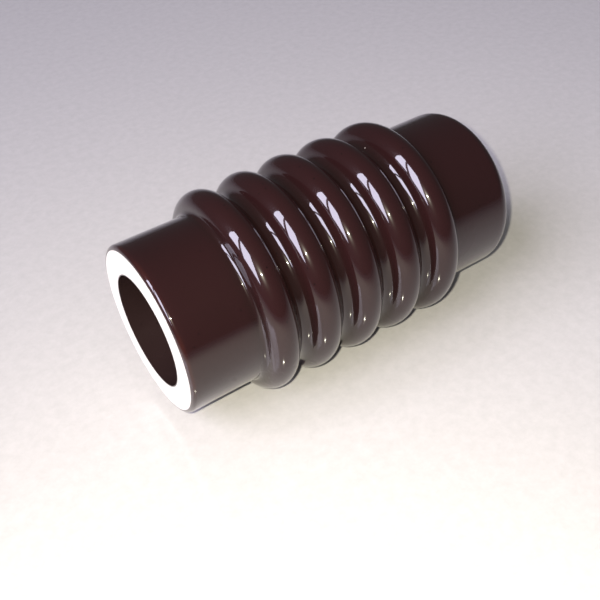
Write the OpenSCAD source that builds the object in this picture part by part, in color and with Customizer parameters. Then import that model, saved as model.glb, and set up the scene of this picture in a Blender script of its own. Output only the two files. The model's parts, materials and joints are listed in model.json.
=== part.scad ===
// Ribbed porcelain insulator sleeve, lying on its ribs.
// The axis runs along X from the ground end (-X) to the round-lipped end (+X).
// The origin is the middle of the footprint, with the rib crests touching Z = 0. Millimetres.

/* [Tube] */
// Length over both ends
overall_length = 133.7; // [114:0.1:200]
// Outside radius of the two plain necks, over the glaze
neck_r = 30; // [28:0.1:32]
// Radius of the through bore, inside the glaze
bore_r = 19.8; // [10:0.1:22]

/* [Ribs] */
// How many ribs
rib_count = 5; // [2:1:6]
// Distance from the ground end to the middle of the first rib
first_rib_at = 32.6; // [10:0.1:50]
// Spacing of the rib middles
rib_pitch = 16.6; // [12:0.1:17]
// Radius over the rib crests
rib_r = 36.4; // [34:0.1:40]
// Radius of each rounded crest
crest_r = 5.6; // [5.4:0.1:8]
// Radius of each hollow between two ribs
valley_r = 3.1; // [2.9:0.1:6]
// Radius of the fillet between a neck and its nearest rib
foot_r = 1.8; // [0.5:0.1:5]

/* [Ends] */
// Outer corner radius at the ground end
ground_corner_r = 1.5; // [0.6:0.1:4]
// Outer corner radius at the round-lipped end
lip_r = 5.5; // [3:0.1:9]

/* [Glaze] */
// Thickness of the glaze coats
glaze_t = 0.35; // [0.2:0.05:0.5]

/* [Hidden] */
$fn = 180;
last_rib_at = first_rib_at + (rib_count - 1) * rib_pitch;
// Radius at which the crest circles are centred
crest_at = rib_r - crest_r;
// Radius at which the hollow circles are centred, so that they touch the crests
valley_at = crest_at + sqrt(pow(crest_r + valley_r, 2) - pow(rib_pitch / 2, 2));
// Centre of the foot fillet: radius, and distance along the axis from the end rib's middle
foot_at = neck_r + foot_r;
foot_reach = sqrt(pow(crest_r + foot_r, 2) - pow(foot_at - crest_at, 2));
// How far a hollow or a fillet is cut past the arc it touches, so that the two arcs cross
bite = 0.004;
// Radius of the round lip's crown
crown_r = neck_r - lip_r;
inner_lip_r = crown_r - bore_r;
// Length of the straight bore, up to where the outer coat rolls in over the lip
bore_length = overall_length - inner_lip_r;

// All 2D shapes are half sections: first coordinate = radius, second = distance from the
// ground end. The argument t is how far the surface is set in from the glazed surface.

module ring_2d(r_in, r_out, from, to) {
    translate([r_in, from]) square([r_out - r_in, to - from]);
}

// The plain tube, with its small outer corner at the ground end
module tube_2d(t) {
    corner_at = neck_r - ground_corner_r;
    ring_2d(bore_r + t, crown_r, 0, bore_length);
    ring_2d(crown_r, corner_at, 0, ground_corner_r);
    intersection() {
        translate([corner_at, ground_corner_r]) circle(ground_corner_r - t);
        ring_2d(corner_at, neck_r, 0, ground_corner_r);
    }
    ring_2d(crown_r, neck_r - t, ground_corner_r, overall_length - lip_r);
}

// The round lip at the far end: two quarter circles that meet at its crown
module lip_2d(t) {
    intersection() {
        translate([crown_r, overall_length - lip_r]) circle(lip_r - t);
        ring_2d(crown_r, neck_r, overall_length - lip_r, overall_length);
    }
    intersection() {
        translate([crown_r, bore_length]) circle(inner_lip_r - t);
        ring_2d(bore_r, crown_r, bore_length, overall_length);
    }
}

// The ribs: a zigzag through the centres of all the circles, cut by the hollows and the
// foot fillets, with a crest circle on each rib
module ribs_2d(t) {
    ends = [first_rib_at - foot_reach, last_rib_at + foot_reach];
    crests = [for (i = [0 : rib_count - 1]) first_rib_at + i * rib_pitch];
    hollows = [for (i = [0 : rib_count - 2]) crests[i] + rib_pitch / 2];
    zigzag = [for (i = [0 : rib_count - 2]) each [[crest_at, crests[i]], [valley_at, hollows[i]]]];
    difference() {
        polygon(concat(
            [[crown_r, ends[0]], [foot_at, ends[0]]], zigzag,
            [[crest_at, last_rib_at], [foot_at, ends[1]], [crown_r, ends[1]]]
        ));
        for (end = ends) translate([foot_at, end]) circle(foot_r + t + bite);
        for (hollow = hollows) translate([valley_at, hollow]) circle(valley_r + t + bite);
    }
    for (crest = crests) translate([crest_at, crest]) circle(crest_r - t);
}

module wall_2d(t) {
    tube_2d(t);
    lip_2d(t);
    ribs_2d(t);
}

// Turns a half section about the axis and lays the result on its rib crests
module lay_down() {
    translate([-overall_length / 2, 0, rib_r]) rotate([0, 90, 0]) rotate_extrude() children();
}

module porcelain_body() {
    color([0.93, 0.92, 0.89]) lay_down() wall_2d(glaze_t);
}

// The coat on the outside, which also rolls over the lip to the start of the straight bore
module outer_glaze() {
    color([0.22, 0.13, 0.12]) lay_down() difference() {
        wall_2d(0);
        wall_2d(glaze_t);
        ring_2d(0, crown_r, -1, bore_length);
    }
}

module bore_glaze() {
    color([0.24, 0.13, 0.11]) lay_down() ring_2d(bore_r, bore_r + glaze_t, 0, bore_length);
}

porcelain_body();
outer_glaze();
bore_glaze();
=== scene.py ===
"""Ribbed porcelain insulator sleeve: its glazed skins, its bare porcelain and a small studio.

Everything is in metres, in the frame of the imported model: the sleeve's axis runs along X from
the ground end to the round-lipped end, and the rib crests touch Z = 0.
"""

import json
import math

import bpy
import numpy as np
from mathutils import Matrix, Vector


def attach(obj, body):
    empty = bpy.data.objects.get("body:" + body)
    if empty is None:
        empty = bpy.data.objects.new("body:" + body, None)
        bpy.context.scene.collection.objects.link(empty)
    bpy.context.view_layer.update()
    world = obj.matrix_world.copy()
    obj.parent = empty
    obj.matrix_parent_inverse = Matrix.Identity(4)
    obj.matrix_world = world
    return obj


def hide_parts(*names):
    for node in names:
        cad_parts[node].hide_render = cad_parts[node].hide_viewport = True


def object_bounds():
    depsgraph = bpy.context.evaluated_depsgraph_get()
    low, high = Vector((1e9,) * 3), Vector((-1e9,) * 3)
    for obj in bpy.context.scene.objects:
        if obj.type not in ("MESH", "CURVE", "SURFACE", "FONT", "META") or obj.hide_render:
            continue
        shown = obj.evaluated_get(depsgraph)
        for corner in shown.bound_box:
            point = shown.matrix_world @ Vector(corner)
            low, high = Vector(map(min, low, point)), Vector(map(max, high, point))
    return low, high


bl_info = {
    "name": "Ribbed porcelain insulator",
    "version": (1, 0, 0),
    "blender": (4, 5, 0),
    "location": "View3D > Sidebar > Insulator",
    "description": "Builds the glazed porcelain sleeve and its studio round the packed model",
    "category": "Object",
}

MM = 0.001
SAME_POINT = 0.001 * MM
# How much the glaze's thickness answers to the curve of the wall
FILM_REACH = 0.6 * MM
# The film on a plain wall, and the length of section that its curve is averaged over
PLAIN_FILM = 0.5
FILM_SPREAD = 4 * MM
# The unevenness dies out over this length beside each end of a coat
OUTER_FADE, BORE_FADE = 6 * MM, 5 * MM
# Edges sharper than this many degrees stay sharp
SHARP_ANGLE = 40

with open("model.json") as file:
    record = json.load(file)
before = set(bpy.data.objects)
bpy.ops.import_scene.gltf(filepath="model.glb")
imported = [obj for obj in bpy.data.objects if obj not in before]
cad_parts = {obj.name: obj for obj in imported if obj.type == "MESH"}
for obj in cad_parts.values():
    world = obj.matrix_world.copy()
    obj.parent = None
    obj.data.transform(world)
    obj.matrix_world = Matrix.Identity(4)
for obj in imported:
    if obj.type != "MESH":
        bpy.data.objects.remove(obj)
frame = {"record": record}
CAD_LOW, CAD_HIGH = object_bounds()
GROUND_X = CAD_LOW.x
AXIS_Z = (CAD_LOW.z + CAD_HIGH.z) / 2


# ---------------------------------------------------------------- colours and settings


def mount_radius(name):
    """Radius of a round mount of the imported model, in metres."""
    mounts = {mount["name"]: mount for mount in frame["record"]["mounts"]}
    return mounts[name]["dims"]["r_mm"] * MM


def linear(code):
    """Linear RGB of an sRGB hex colour: a straight line near black, and a 2.4 power above it."""
    value = np.array([int(code[i : i + 2], 16) for i in (1, 3, 5)]) / 255
    curved = ((value + 0.055) / 1.055) ** 2.4
    return tuple(float(v) for v in np.where(value <= 0.04045, value / 12.92, curved))


def length(name, description, default):
    """A length setting in metres."""
    return bpy.props.FloatProperty(
        name=name, description=description, default=default, min=0.0, precision=5, unit="LENGTH"
    )


def colour(name, description, code):
    """A colour setting, given as sRGB hex."""
    return bpy.props.FloatVectorProperty(
        name=name,
        description=description,
        default=linear(code),
        size=3,
        subtype="COLOR",
        min=0.0,
        max=1.0,
    )


class InsulatorSizes(bpy.types.PropertyGroup):
    """Sizes of the sleeve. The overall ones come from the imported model."""

    overall_length: length("Length", "Length over both ends", CAD_HIGH.x - CAD_LOW.x)
    neck_radius: length("Neck radius", "Radius of the plain necks", mount_radius("ground_neck"))
    bore_radius: length("Bore radius", "Radius of the bore, inside the glaze", mount_radius("bore"))
    rib_radius: length("Rib radius", "Radius over the rib crests", (CAD_HIGH.z - CAD_LOW.z) / 2)
    rib_count: bpy.props.IntProperty(name="Ribs", description="How many ribs", default=5, min=2, max=12)
    first_rib: length("First rib", "Ground end to the middle of the first rib", 32.6 * MM)
    rib_pitch: length("Rib pitch", "Spacing of the rib middles", 16.6 * MM)
    crest_radius: length("Crest radius", "Radius of each rounded crest", 5.6 * MM)
    hollow_radius: length("Hollow radius", "Radius of each hollow between two ribs", 3.1 * MM)
    foot_radius: length("Foot radius", "Fillet between a neck and its nearest rib", 1.8 * MM)
    ground_corner: length("Ground corner", "Outer corner radius at the ground end", 1.5 * MM)
    lip_radius: length("Lip radius", "Outer corner radius at the round lip", 5.5 * MM)
    glaze_thickness: length("Glaze thickness", "Thickness of the glaze coats", 0.35 * MM)
    unevenness: length("Unevenness", "Scale of the fired waves, which reach 2.25 times it", 0.03 * MM)


class InsulatorColours(bpy.types.PropertyGroup):
    """Colours of the finishes and of the studio."""

    glaze: colour("Glaze", "Iron-brown glaze at its usual thickness", "#200F10")
    # The bore's glaze colour is lighter than the outer glaze: painted reflection of the floor and the lamp
    # in the bore's walls.
    glaze_in_bore_painted_light: colour("Glaze in the bore", "The same glaze, thinner in the bore", "#251A1A")
    glaze_thin: colour("Thin glaze", "Glaze where it breaks thin over an edge", "#5A2B1E")
    glaze_pooled: colour("Pooled glaze", "Glaze where it lies thick in a hollow", "#170D0C")
    glaze_speck: colour("Iron specks", "Fine specks burnt out of the glaze", "#0E0707")
    # Pale colour set into the glaze's pinholes as small dots.
    pinhole_pale: colour("Dust", "Pale dust caught in the glaze's pinholes", "#A39A94")
    porcelain: colour("Porcelain", "Bare fired body on the ground end", "#D2CFC8")
    porcelain_smudge: colour("Grinding smudge", "Grey rubbed into the bare face by grinding", "#B3AEA6")
    floor: colour("Floor", "Pale polished stone floor", "#B7B4B3")


# ---------------------------------------------------------------- section of the wall


def arc(centre, radius, start, end, steps):
    """Points (along, radius) of an arc: centre + radius (sin a, cos a), a in degrees."""
    angle = np.radians(np.linspace(start, end, steps))
    return np.column_stack([centre[0] + radius * np.sin(angle), centre[1] + radius * np.cos(angle)])


def straight(start, end, steps):
    """Points spaced evenly on the line from start to end."""
    share = np.linspace(0, 1, steps)[:, None]
    return np.array(start) * (1 - share) + np.array(end) * share


def joined(*parts):
    """The parts end to end, without the points that two neighbours share."""
    points = np.concatenate(parts)
    step = np.linalg.norm(np.diff(points, axis=0), axis=1)
    return points[np.r_[True, step > SAME_POINT]]


def rib_section(sizes, depth, fine):
    """Section over the ribs, from the first foot fillet to the last, set in by depth.

    Crest circles and hollow circles take turns, and each touches the next: a hollow's centre is
    as far from a crest's as the sum of their radii. So every arc stops at the angle whose sine
    is half the pitch over that sum. The foot fillets touch the neck line and the end crests.
    """
    crest, hollow, foot = sizes.crest_radius, sizes.hollow_radius, sizes.foot_radius
    crest_at = sizes.rib_radius - crest
    turn = math.degrees(math.asin(sizes.rib_pitch / 2 / (crest + hollow)))
    hollow_at = crest_at + (crest + hollow) * math.cos(math.radians(turn))
    foot_at = sizes.neck_radius + foot
    foot_turn = math.degrees(math.acos((foot_at - crest_at) / (crest + foot)))
    foot_reach = (crest + foot) * math.sin(math.radians(foot_turn))
    last = sizes.rib_count - 1
    ribs = [sizes.first_rib + i * sizes.rib_pitch for i in range(sizes.rib_count)]
    parts = [arc((ribs[0] - foot_reach, foot_at), foot + depth, -180, -180 - foot_turn, fine // 3)]
    for i, rib in enumerate(ribs):
        start = foot_turn if i == 0 else turn
        end = foot_turn if i == last else turn
        parts.append(arc((rib, crest_at), crest - depth, -start, end, fine))
        if i < last:
            middle = rib + sizes.rib_pitch / 2
            parts.append(arc((middle, hollow_at), hollow + depth, turn - 180, -turn - 180, fine // 2))
    parts.append(arc((ribs[last] + foot_reach, foot_at), foot + depth, foot_turn - 180, -180, fine // 3))
    return joined(*parts)


def outer_section(sizes, depth, fine):
    """Outside of the wall, from the ground corner over the lip to the bore, set in by depth."""
    corner, lip, end = sizes.ground_corner, sizes.lip_radius, sizes.overall_length
    crown = sizes.neck_radius - lip
    inner_lip = crown - sizes.bore_radius
    ribs = rib_section(sizes, depth, fine)
    neck = sizes.neck_radius - depth
    return joined(
        arc((corner, sizes.neck_radius - corner), corner - depth, -90, 0, fine // 3),
        straight((corner, neck), ribs[0], fine // 2),
        ribs,
        straight(ribs[-1], (end - lip, neck), fine // 2),
        arc((end - lip, crown), lip - depth, 0, 90, fine // 2),
        arc((end - inner_lip, crown), inner_lip - depth, 90, 180, fine // 3),
    )


def film_of(section):
    """How thick the glaze lies: 0 on a sharp edge, 0.5 on a plain wall and 1 in a tight hollow.

    It is PLAIN_FILM plus FILM_REACH times the curve, which is the turn of the section's direction
    per length, positive in a hollow. The curve is averaged over FILM_SPREAD of the section,
    because the molten glaze evens itself out.
    """
    step = np.diff(section, axis=0)
    along = np.r_[0, np.cumsum(np.linalg.norm(step, axis=1))]
    heading = np.unwrap(np.arctan2(step[:, 1], step[:, 0]))
    middle = (along[1:] + along[:-1]) / 2
    near = along + np.linspace(-FILM_SPREAD / 2, FILM_SPREAD / 2, 9)[:, None]
    half = 0.8 * MM
    turned_by = np.interp(near + half, middle, heading) - np.interp(near - half, middle, heading)
    curve = (turned_by / (2 * half)).mean(axis=0)
    return np.clip(PLAIN_FILM + curve * FILM_REACH, 0, 1)


# ---------------------------------------------------------------- turning the pieces


def turned(name, section, turns, film, stray):
    """A closed ring turned from a closed section, whose faces point out of the material.

    Point (along, radius) goes to X = ground end + along, Y = radius sin w, Z = axis + radius cos w
    for w evenly round the axis. stray is added to the radius: a sum of a few slow waves round and
    along, whose sizes add up to 2.25, times each section point's own share.
    """
    turn = np.linspace(0, 2 * np.pi, turns, endpoint=False)
    along, radius = section[:, 0, None], section[:, 1, None]
    wave = (
        0.9 * np.cos(2 * turn + 0.7)
        + 0.6 * np.cos(3 * turn - 1.9 + along / (19 * MM))
        + 0.45 * np.cos(5 * turn + 2.3 - along / (11 * MM))
        + 0.3 * np.cos(8 * turn + 0.4 + along / (7 * MM))
    )
    radius = radius + stray[:, None] * wave
    points = np.stack(
        [GROUND_X + along + 0 * turn, radius * np.sin(turn), AXIS_Z + radius * np.cos(turn)], axis=-1
    )
    rows = len(section)
    row, column = np.meshgrid(np.arange(rows), np.arange(turns), indexing="ij")
    below, beside = (row + 1) % rows, (column + 1) % turns
    quads = np.stack(
        [row * turns + column, below * turns + column, below * turns + beside, row * turns + beside], axis=-1
    )
    mesh = bpy.data.meshes.new(name)
    mesh.from_pydata(points.reshape(-1, 3), [], quads.reshape(-1, 4))
    layer = mesh.attributes.new("film", "FLOAT", "POINT")
    layer.data.foreach_set("value", np.repeat(film, turns).astype(np.float32))
    mesh.shade_smooth()
    mesh.set_sharp_from_angle(angle=math.radians(SHARP_ANGLE))
    piece = bpy.data.objects.new(name, mesh)
    bpy.context.scene.collection.objects.link(piece)
    return piece


def settle(piece, node, material):
    """Hands a finished piece to the frame in place of its CAD node, with its finish."""
    piece.data.materials.append(material)
    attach(piece, "root")
    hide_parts(node)


def outer_coat(sizes):
    """The coat outside: its skin, and its underside against the body, closed at both ends."""
    skin = outer_section(sizes, 0, 24)
    under = outer_section(sizes, sizes.glaze_thickness, 9)[::-1]
    film = np.r_[film_of(skin), np.full(len(under), PLAIN_FILM)]
    along = skin[:, 0]
    fade = np.clip(np.minimum(along, sizes.overall_length - along) / OUTER_FADE, 0, 1)
    stray = np.r_[sizes.unevenness * fade, np.zeros(len(under))]
    return turned("glaze_outside", np.concatenate([skin, under]), 272, film, stray)


def bore_coat(sizes):
    """The coat in the bore: a thin tube from the ground end to where the lip begins."""
    end = sizes.overall_length - (sizes.neck_radius - sizes.lip_radius - sizes.bore_radius)
    inside, outside = sizes.bore_radius, sizes.bore_radius + sizes.glaze_thickness
    under = straight((0, outside), (end, outside), 12)
    skin = straight((end, inside), (0, inside), 90)
    film = np.r_[np.full(len(under), PLAIN_FILM), np.full(len(skin), 0.55)]
    along = skin[:, 0]
    fade = np.clip(np.minimum(along, end - along) / BORE_FADE, 0, 1)
    stray = 0.4 * sizes.unevenness * np.sin(along / (1.9 * MM)) * fade
    section = np.concatenate([under, skin])
    return turned("glaze_in_bore_painted_light", section, 144, film, np.r_[np.zeros(len(under)), stray])


def bare_body(sizes):
    """The fired body under both coats. Its ground end is bare."""
    depth = sizes.glaze_thickness
    corner_at = sizes.neck_radius - sizes.ground_corner
    face = straight((0, sizes.bore_radius + depth), (0, corner_at), 14)
    outside = outer_section(sizes, depth, 12)
    end = outside[-1, 0]
    bore = straight((end, sizes.bore_radius + depth), (0, sizes.bore_radius + depth), 30)
    section = joined(face, outside, bore)[:-1]
    film = np.full(len(section), PLAIN_FILM)
    return turned("porcelain_core", section, 192, film, np.zeros(len(section)))


# ---------------------------------------------------------------- finishes

# Dirt in the torn-out grains of the ground face
PIT_COLOUR = "#9C958C"


def add(tree, kind, inputs=None, **settings):
    """Adds a node with its settings. Each input is a value, or another node's output to link."""
    node = tree.nodes.new(kind)
    for name, value in settings.items():
        setattr(node, name, value)
    for socket, value in (inputs or {}).items():
        if isinstance(value, bpy.types.NodeSocket):
            tree.links.new(value, node.inputs[socket])
        else:
            node.inputs[socket].default_value = value
    return node


def new_material(name):
    """An empty node material: its tree, its shader and its place in the object, in metres."""
    material = bpy.data.materials.new(name)
    material.use_nodes = True
    tree = material.node_tree
    tree.nodes.clear()
    shader = add(tree, "ShaderNodeBsdfPrincipled")
    add(tree, "ShaderNodeOutputMaterial", {"Surface": shader.outputs["BSDF"]})
    place = add(tree, "ShaderNodeTexCoord").outputs["Object"]
    return material, tree, shader, place


def per(size_mm):
    """Texture scale that makes a pattern of the given size, from millimetres."""
    return 1 / (size_mm * MM)


def rgba(value):
    """A colour with full opacity, as a node's colour socket takes it."""
    return (*value, 1.0)


def iron_brown_glaze(name, colours, usual, gloss, peel_mm, peel_depth_mm):
    """Iron-brown feldspathic glaze, dipped and fired to a glass over white porcelain.

    The eye sees an almost black brown with mirror-sharp lights on it, redder where the glass
    breaks thin over an edge, darker where it has run into a hollow, with faint clouds, burnt
    iron specks, a few pinholes and a slow orange-peel ripple in the reflections.
    """
    material, tree, shader, place = new_material(name)
    film = add(
        tree, "ShaderNodeAttribute", attribute_name="film", attribute_type="GEOMETRY"
    ).outputs["Fac"]

    clouds = add(
        tree, "ShaderNodeTexNoise", {"Vector": place, "Scale": per(14), "Detail": 3.0, "Roughness": 0.55}
    ).outputs["Fac"]
    shifted = add(
        tree, "ShaderNodeMath", {0: clouds, 1: 0.22, 2: film}, operation="MULTIPLY_ADD"
    ).outputs[0]
    depth = add(tree, "ShaderNodeMath", {0: shifted, 1: 0.11}, operation="SUBTRACT").outputs[0]
    # A plain wall lies at about 0.5 on this ramp, a little past the usual colour.
    ramp = add(tree, "ShaderNodeValToRGB", {"Fac": depth})
    ramp.color_ramp.interpolation = "EASE"
    stops = ramp.color_ramp.elements
    stops[0].position, stops[0].color = 0.02, rgba(colours.glaze_thin)
    stops[1].position, stops[1].color = 0.95, rgba(colours.glaze_pooled)
    middle = stops.new(0.36)
    middle.color = rgba(usual)

    # Iron specks are 0.1 to 0.3 mm across; drawn at about 0.5 mm, so that they show.
    cells = add(tree, "ShaderNodeTexVoronoi", {"Vector": place, "Scale": per(2.6), "Randomness": 1.0})
    chosen = add(tree, "ShaderNodeSeparateColor", {"Color": cells.outputs["Color"]}).outputs[0]
    small = add(
        tree,
        "ShaderNodeMapRange",
        {"Value": cells.outputs["Distance"], "From Min": 0.13, "From Max": 0.07},
    ).outputs[0]
    rare = add(tree, "ShaderNodeMath", {0: chosen, 1: 0.72}, operation="GREATER_THAN").outputs[0]
    speck = add(tree, "ShaderNodeMath", {0: small, 1: rare}, operation="MULTIPLY").outputs[0]
    spotted = add(
        tree,
        "ShaderNodeMix",
        {0: speck, 6: ramp.outputs["Color"], 7: rgba(colours.glaze_speck)},
        data_type="RGBA",
    ).outputs[2]
    # Pinholes where gas broke the surface: pale dots 0.3 mm wide, fading out at 0.7 mm.
    holes = add(tree, "ShaderNodeTexVoronoi", {"Vector": place, "Scale": per(12), "Randomness": 1.0})
    pit = add(
        tree,
        "ShaderNodeMapRange",
        {"Value": holes.outputs["Distance"], "From Min": 0.012, "From Max": 0.03},
    ).outputs[0]
    with_pale_pinholes = add(
        tree,
        "ShaderNodeMix",
        {0: pit, 6: rgba(colours.pinhole_pale), 7: spotted},
        data_type="RGBA",
    ).outputs[2]
    tree.links.new(with_pale_pinholes, shader.inputs["Base Color"])

    # Tiny bubbles under the glass spread a weak halo round each light, in patches 25 mm wide.
    haze = add(tree, "ShaderNodeTexNoise", {"Vector": place, "Scale": per(25), "Detail": 4.0}).outputs["Fac"]
    rough = add(
        tree,
        "ShaderNodeMapRange",
        {"Value": haze, "From Min": 0.35, "From Max": 0.7, "To Min": 0.2, "To Max": 0.3},
    ).outputs[0]
    tree.links.new(rough, shader.inputs["Roughness"])

    ripple = add(
        tree, "ShaderNodeTexNoise", {"Vector": place, "Scale": per(peel_mm), "Detail": 1.5, "Roughness": 0.4}
    ).outputs["Fac"]
    peel = add(
        tree, "ShaderNodeBump", {"Height": ripple, "Strength": 1.0, "Distance": peel_depth_mm * MM}
    ).outputs["Normal"]
    pitted = add(
        tree, "ShaderNodeBump", {"Height": pit, "Strength": 0.6, "Distance": 0.03 * MM, "Normal": peel}
    ).outputs["Normal"]
    tree.links.new(pitted, shader.inputs["Normal"])
    tree.links.new(pitted, shader.inputs["Coat Normal"])

    shader.inputs["IOR"].default_value = 1.5
    shader.inputs["Specular IOR Level"].default_value = 0.05
    shader.inputs["Coat Weight"].default_value = 1.0
    shader.inputs["Coat Roughness"].default_value = gloss
    shader.inputs["Coat IOR"].default_value = 1.53
    return material


def ground_porcelain(colours):
    """Unglazed hard porcelain, ground flat on a wheel after firing.

    The eye sees a dense, matt, slightly warm white with fine circular grinding lines, tiny dark
    pits and a little grey rubbed into it.
    """
    material, tree, shader, place = new_material("ground_porcelain")
    centred = add(
        tree, "ShaderNodeMapping", {"Vector": place, "Location": (0, 0, -AXIS_Z)}, vector_type="POINT"
    ).outputs[0]
    flat = add(
        tree, "ShaderNodeVectorMath", {0: centred, 1: (0.0, 1.0, 1.0)}, operation="MULTIPLY"
    ).outputs[0]
    radius = add(tree, "ShaderNodeVectorMath", {0: flat}, operation="LENGTH").outputs["Value"]
    drift = add(tree, "ShaderNodeTexNoise", {"Vector": place, "Scale": per(6), "Detail": 2.0}).outputs["Fac"]
    bent = add(
        tree, "ShaderNodeMath", {0: drift, 1: 0.8 * MM, 2: radius}, operation="MULTIPLY_ADD"
    ).outputs[0]
    # Grinding lines are about 0.05 mm apart; drawn 0.35 mm apart, so that they show.
    lines = add(
        tree,
        "ShaderNodeTexNoise",
        {"W": bent, "Scale": per(0.35), "Detail": 2.0, "Roughness": 0.6},
        noise_dimensions="1D",
    ).outputs["Fac"]
    grain = add(
        tree, "ShaderNodeTexNoise", {"Vector": place, "Scale": per(0.25), "Detail": 3.0}
    ).outputs["Fac"]
    smears = add(
        tree, "ShaderNodeTexNoise", {"Vector": place, "Scale": per(9), "Detail": 5.0, "Roughness": 0.65}
    ).outputs["Fac"]
    grey = add(
        tree, "ShaderNodeMapRange", {"Value": smears, "From Min": 0.5, "From Max": 0.78, "To Max": 0.6}
    ).outputs[0]
    tint = add(
        tree,
        "ShaderNodeMix",
        {0: grey, 6: rgba(colours.porcelain), 7: rgba(colours.porcelain_smudge)},
        data_type="RGBA",
    ).outputs[2]
    # Pits of 0.2 to 0.4 mm where a grain was torn out.
    cells = add(tree, "ShaderNodeTexVoronoi", {"Vector": place, "Scale": per(2.2)}).outputs["Distance"]
    pit = add(tree, "ShaderNodeMapRange", {"Value": cells, "From Min": 0.05, "From Max": 0.1}).outputs[0]
    pitted = add(
        tree,
        "ShaderNodeMix",
        {0: pit, 6: rgba(linear(PIT_COLOUR)), 7: tint},
        data_type="RGBA",
    ).outputs[2]
    tree.links.new(pitted, shader.inputs["Base Color"])
    fine = add(tree, "ShaderNodeMath", {0: grain, 1: 0.5, 2: lines}, operation="MULTIPLY_ADD").outputs[0]
    whole = add(tree, "ShaderNodeMath", {0: fine, 1: pit}, operation="ADD").outputs[0]
    bump = add(
        tree, "ShaderNodeBump", {"Height": whole, "Strength": 0.5, "Distance": 0.04 * MM}
    ).outputs["Normal"]
    tree.links.new(bump, shader.inputs["Normal"])
    shader.inputs["Roughness"].default_value = 0.75
    shader.inputs["IOR"].default_value = 1.5
    return material


def polished_stone(colours):
    """Polished pale stone tile: faint cloudy mottling under a slightly soft shine."""
    material, tree, shader, place = new_material("polished_stone_floor")
    clouds = add(
        tree, "ShaderNodeTexNoise", {"Vector": place, "Scale": per(4), "Detail": 5.0, "Roughness": 0.7}
    ).outputs["Fac"]
    shade = add(
        tree,
        "ShaderNodeMapRange",
        {"Value": clouds, "From Min": 0.3, "From Max": 0.7, "To Min": 0.93, "To Max": 1.04},
    ).outputs[0]
    tint = add(
        tree, "ShaderNodeVectorMath", {0: colours.floor, "Scale": shade}, operation="SCALE"
    ).outputs[0]
    tree.links.new(tint, shader.inputs["Base Color"])
    shader.inputs["Roughness"].default_value = 0.12
    shader.inputs["IOR"].default_value = 1.5
    return material


# ---------------------------------------------------------------- studio

CAMERA_TARGET = Vector((-18.65, -17.7, 36.4)) * MM
CAMERA_AZIMUTH, CAMERA_ELEVATION, CAMERA_ROLL = 327.9, 42.76, 3.41
CAMERA_DISTANCE = 278.5 * MM
CAMERA_LENS, CAMERA_SENSOR = 50.0, 36.0
FLOOR_SIZE = 40.0
WINDOW_DISTANCE = 2.5
# The window's panes, as (left, right, sill, head) in shares of the window's distance
WINDOW_PANES = ((-0.58, 0.02, 0.42, 1.75), (0.12, 0.43, 0.5, 1.95))
# Watts for each square metre of a pane: as a light, and extra in reflections
WINDOW_WATTS, GLINT_WATTS = 38.0, 16.0
WINDOW_COLOUR, LAMP_COLOUR, ROOM_COLOUR = "#E8E4FB", "#FCF7E0", "#E4E3E8"
# How far behind its pane a glint light stands, as a share of the window's distance
GLINT_BEHIND = 1.01
# Brightness of the room in reflections, as a fill on matt surfaces, and to look at
ROOM_MIRRORED, ROOM_FILL, ROOM_SEEN = 0.1, 0.28, 0.8
LAMP_AT = Vector((-133.3, -182.7, 229.6)) * MM
LAMP_RADIUS = 3 * MM
LAMP_WATTS = 5.5


def set_camera():
    """Camera that looks at the target from its azimuth and elevation, rolled about its view."""
    azimuth, elevation = math.radians(CAMERA_AZIMUTH), math.radians(CAMERA_ELEVATION)
    roll = math.radians(CAMERA_ROLL)
    back = Vector(
        (
            math.sin(azimuth) * math.cos(elevation),
            -math.cos(azimuth) * math.cos(elevation),
            math.sin(elevation),
        )
    )
    level = (-back).cross(Vector((0, 0, 1))).normalized()
    upright = level.cross(-back)
    right = level * math.cos(roll) - upright * math.sin(roll)
    up = level * math.sin(roll) + upright * math.cos(roll)
    data = bpy.data.cameras.new("camera")
    data.lens, data.sensor_width = CAMERA_LENS, CAMERA_SENSOR
    data.clip_start, data.clip_end = 0.01, 50
    camera = bpy.data.objects.new("camera", data)
    camera.matrix_world = Matrix.Translation(CAMERA_TARGET + back * CAMERA_DISTANCE) @ Matrix(
        (right, up, back)
    ).transposed().to_4x4()
    bpy.context.scene.collection.objects.link(camera)
    bpy.context.scene.camera = camera


def set_floor(colours):
    """A square floor that touches the rib crests."""
    half = FLOOR_SIZE / 2
    corners = [(-half, -half, 0), (half, -half, 0), (half, half, 0), (-half, half, 0)]
    mesh = bpy.data.meshes.new("floor")
    mesh.from_pydata(corners, [], [(0, 1, 2, 3)])
    mesh.materials.append(polished_stone(colours))
    floor = bpy.data.objects.new("floor", mesh)
    bpy.context.scene.collection.objects.link(floor)


def set_window():
    """An upright window at X = -distance, beyond the ground end: soft lights for each pane.

    Each pane is a light, and just behind it a second one that shows only in reflections.
    """
    turn = Matrix(((0, 0, 1), (1, 0, 0), (0, 1, 0))).to_4x4() @ Matrix.Rotation(math.pi, 4, "Y")
    for i, (left, right, sill, head) in enumerate(WINDOW_PANES):
        middle = Vector((-1, (left + right) / 2, (sill + head) / 2)) * WINDOW_DISTANCE
        for name, watts, behind in (("pane", WINDOW_WATTS, 1.0), ("glint", GLINT_WATTS, GLINT_BEHIND)):
            data = bpy.data.lights.new(f"{name}_{i}", "AREA")
            data.shape = "RECTANGLE"
            data.size = (right - left) * WINDOW_DISTANCE
            data.size_y = (head - sill) * WINDOW_DISTANCE
            data.energy = watts * data.size * data.size_y
            data.color = linear(WINDOW_COLOUR)
            pane = bpy.data.objects.new(f"{name}_{i}", data)
            pane.matrix_world = Matrix.Translation(middle * behind) @ turn
            pane.visible_camera = False
            pane.visible_diffuse = name == "pane"
            bpy.context.scene.collection.objects.link(pane)


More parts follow.
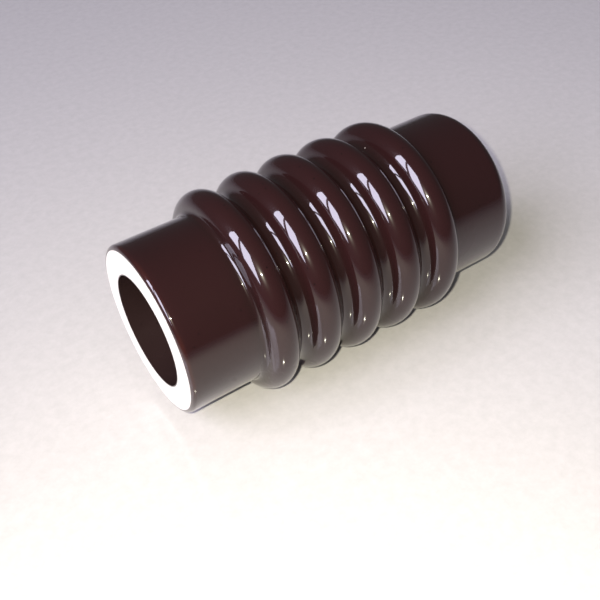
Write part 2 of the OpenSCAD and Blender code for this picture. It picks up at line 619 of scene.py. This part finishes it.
def set_lamp():
    """A small lamp close to the camera's place, for the bright dots on the ribs."""
    data = bpy.data.lights.new("lamp", "POINT")
    data.energy, data.shadow_soft_size = LAMP_WATTS, LAMP_RADIUS
    data.color = linear(LAMP_COLOUR)
    lamp = bpy.data.objects.new("lamp", data)
    lamp.location = LAMP_AT
    lamp.visible_camera = False
    bpy.context.scene.collection.objects.link(lamp)


def set_room():
    """A plain room: pale to look at, a soft fill on matt surfaces, and dim in reflections."""
    world = bpy.data.worlds.new("room")
    bpy.context.scene.world = world
    world.use_nodes = True
    tree = world.node_tree
    tree.nodes.clear()
    tone = rgba(linear(ROOM_COLOUR))
    ray = add(tree, "ShaderNodeLightPath").outputs
    mirrored = add(tree, "ShaderNodeBackground", {"Color": tone, "Strength": ROOM_MIRRORED})
    fill = add(tree, "ShaderNodeBackground", {"Color": tone, "Strength": ROOM_FILL})
    seen = add(tree, "ShaderNodeBackground", {"Color": tone, "Strength": ROOM_SEEN})
    felt = add(
        tree,
        "ShaderNodeMixShader",
        {0: ray["Is Diffuse Ray"], 1: mirrored.outputs[0], 2: fill.outputs[0]},
    )
    mix = add(
        tree, "ShaderNodeMixShader", {0: ray["Is Camera Ray"], 1: felt.outputs[0], 2: seen.outputs[0]}
    )
    add(tree, "ShaderNodeOutputWorld", {"Surface": mix.outputs[0]})


# ---------------------------------------------------------------- operators and panel


class INSULATOR_OT_outer_glaze(bpy.types.Operator):
    """Turn the glaze coat on the outside"""

    bl_idname = "insulator.outer_glaze"
    bl_label = "Outer glaze"

    def execute(self, context):
        sizes, colours = context.scene.insulator_sizes, context.scene.insulator_colours
        finish = iron_brown_glaze(
            "iron_brown_dipped_glaze",
            colours,
            colours.glaze,
            gloss=0.035,
            peel_mm=4.0,
            peel_depth_mm=0.015,
        )
        settle(outer_coat(sizes), "outer_glaze", finish)
        return {"FINISHED"}


class INSULATOR_OT_bore_glaze(bpy.types.Operator):
    """Turn the glaze coat in the bore"""

    bl_idname = "insulator.bore_glaze"
    bl_label = "Bore glaze"

    def execute(self, context):
        sizes, colours = context.scene.insulator_sizes, context.scene.insulator_colours
        # Its usual colour carries painted reflection of the floor and the lamp in the bore.
        finish = iron_brown_glaze(
            "iron_brown_poured_glaze_painted_light",
            colours,
            colours.glaze_in_bore_painted_light,
            gloss=0.06,
            peel_mm=3.5,
            peel_depth_mm=0.02,
        )
        settle(bore_coat(sizes), "bore_glaze", finish)
        return {"FINISHED"}


class INSULATOR_OT_porcelain(bpy.types.Operator):
    """Turn the porcelain body, with its bare ground face"""

    bl_idname = "insulator.porcelain"
    bl_label = "Porcelain body"

    def execute(self, context):
        finish = ground_porcelain(context.scene.insulator_colours)
        settle(bare_body(context.scene.insulator_sizes), "porcelain_body", finish)
        return {"FINISHED"}


class INSULATOR_OT_studio(bpy.types.Operator):
    """Set the camera, the floor, the window, the lamp and the room"""

    bl_idname = "insulator.studio"
    bl_label = "Studio"

    def execute(self, context):
        context.scene.view_settings.view_transform = "Standard"
        set_camera()
        set_floor(context.scene.insulator_colours)
        set_window()
        set_lamp()
        set_room()
        return {"FINISHED"}


OPERATORS = (
    INSULATOR_OT_porcelain,
    INSULATOR_OT_outer_glaze,
    INSULATOR_OT_bore_glaze,
    INSULATOR_OT_studio,
)


class INSULATOR_PT_panel(bpy.types.Panel):
    """Sizes, colours and building steps"""

    bl_label = "Insulator"
    bl_idname = "INSULATOR_PT_panel"
    bl_space_type = "VIEW_3D"
    bl_region_type = "UI"
    bl_category = "Insulator"

    def draw(self, context):
        for group in (context.scene.insulator_sizes, context.scene.insulator_colours):
            box = self.layout.box()
            for name in group.__annotations__:
                box.prop(group, name)
        for operator in OPERATORS:
            self.layout.operator(operator.bl_idname)


CLASSES = (InsulatorSizes, InsulatorColours, *OPERATORS, INSULATOR_PT_panel)


def register():
    for cls in CLASSES:
        bpy.utils.register_class(cls)
    bpy.types.Scene.insulator_sizes = bpy.props.PointerProperty(type=InsulatorSizes)
    bpy.types.Scene.insulator_colours = bpy.props.PointerProperty(type=InsulatorColours)


def unregister():
    del bpy.types.Scene.insulator_colours
    del bpy.types.Scene.insulator_sizes
    for cls in reversed(CLASSES):
        bpy.utils.unregister_class(cls)


def main():
    """Builds every piece and the studio."""
    register()
    bpy.ops.insulator.porcelain()
    bpy.ops.insulator.outer_glaze()
    bpy.ops.insulator.bore_glaze()
    bpy.ops.insulator.studio()


if __name__ == "__main__":
    main()
